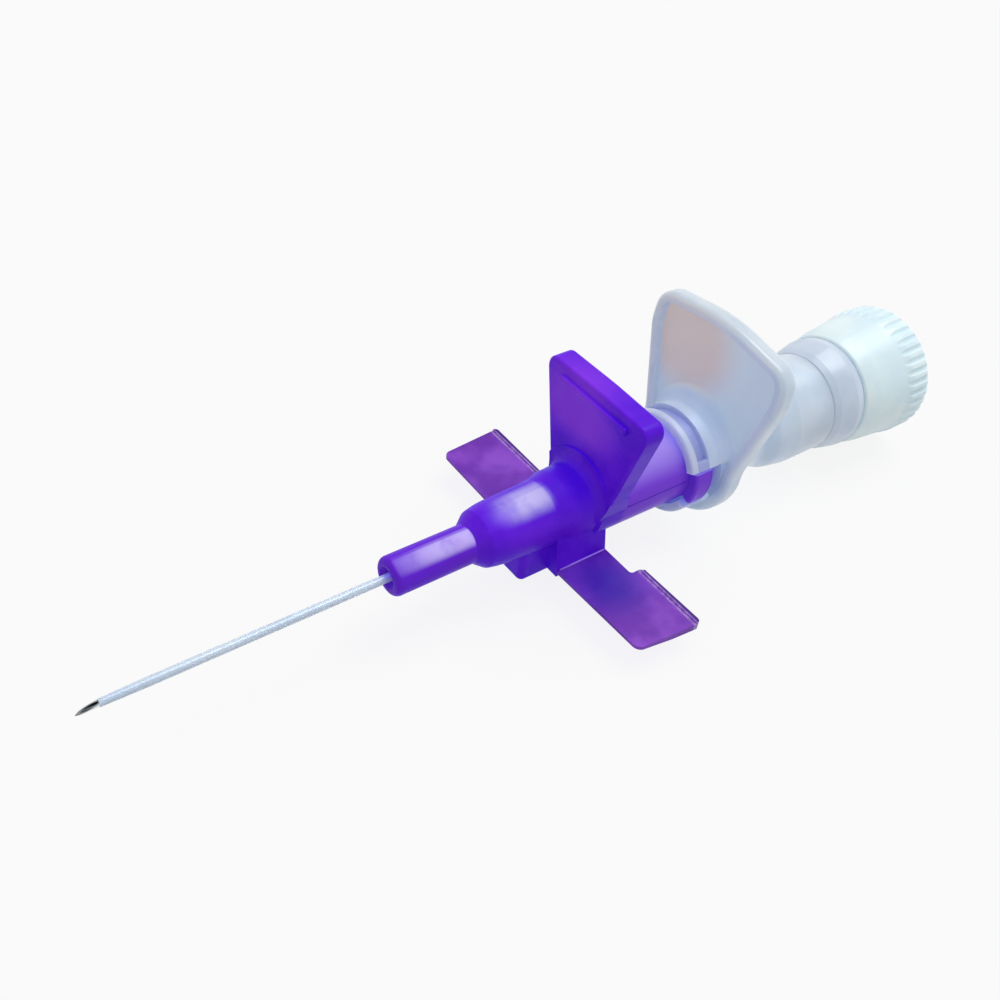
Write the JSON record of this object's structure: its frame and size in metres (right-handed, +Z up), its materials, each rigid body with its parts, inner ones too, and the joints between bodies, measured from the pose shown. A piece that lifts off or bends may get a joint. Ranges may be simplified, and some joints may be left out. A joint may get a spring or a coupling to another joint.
{
  "type": "iv cannula",
  "caption": "Winged over-the-needle IV cannula: violet hub with folding wings and thumb plate, fine tube over a steel needle, clear flash chamber with grip plate, ribbed white cap.",
  "frame": {"origin": "centre of the cannula hub's socket mouth, on the needle axis", "axes": "+X along the needle towards the cap (the point faces -X), +Z up out of the thumb plate, +Y to the right wing; one axis-aligned pose with the wings level"},
  "size_m": [0.069, 0.0234, 0.0164],
  "materials": {
    "violet_plastic": "gloss, lightly translucent",
    "tube_plastic": "satin, translucent",
    "steel": "polished stainless",
    "clear_plastic": "gloss, clear with a blue-grey cast",
    "frosted_plastic": "satin, frosted",
    "filter_plastic": "matte, porous",
    "white_plastic": "satin gloss"
  },
  "bodies": {
    "cannula": {"catheter_hub": "violet_plastic", "catheter_tube": "tube_plastic", "catheter_ferrule": "steel"},
    "needle_set": {"needle_hub": "clear_plastic", "needle": "steel", "vent_plug": "frosted_plastic", "vent_filter": "filter_plastic"},
    "cap": {"luer_cap": "white_plastic"},
    "left_wing": {"wing_left": "violet_plastic"},
    "right_wing": {"wing_right": "violet_plastic"}
  },
  "joints": [
    {"name": "needle_withdraw", "type": "slide", "parent": "cannula", "child": "needle_set", "axis": [1, 0, 0], "range_m": [0, 0.047]},
    {"name": "cap_pull", "type": "slide", "parent": "needle_set", "child": "cap", "axis": [1, 0, 0], "range_m": [0, 0.006]},
    {"name": "left_wing_fold", "type": "hinge", "parent": "cannula", "child": "left_wing", "pos_m": [-0.0107, -0.00295, -0.00315], "axis": [-1, 0, 0], "range_deg": [0, 75]},
    {"name": "right_wing_fold", "type": "hinge", "parent": "cannula", "child": "right_wing", "pos_m": [-0.0107, 0.00295, -0.00315], "axis": [1, 0, 0], "range_deg": [0, 75]}
  ]
}
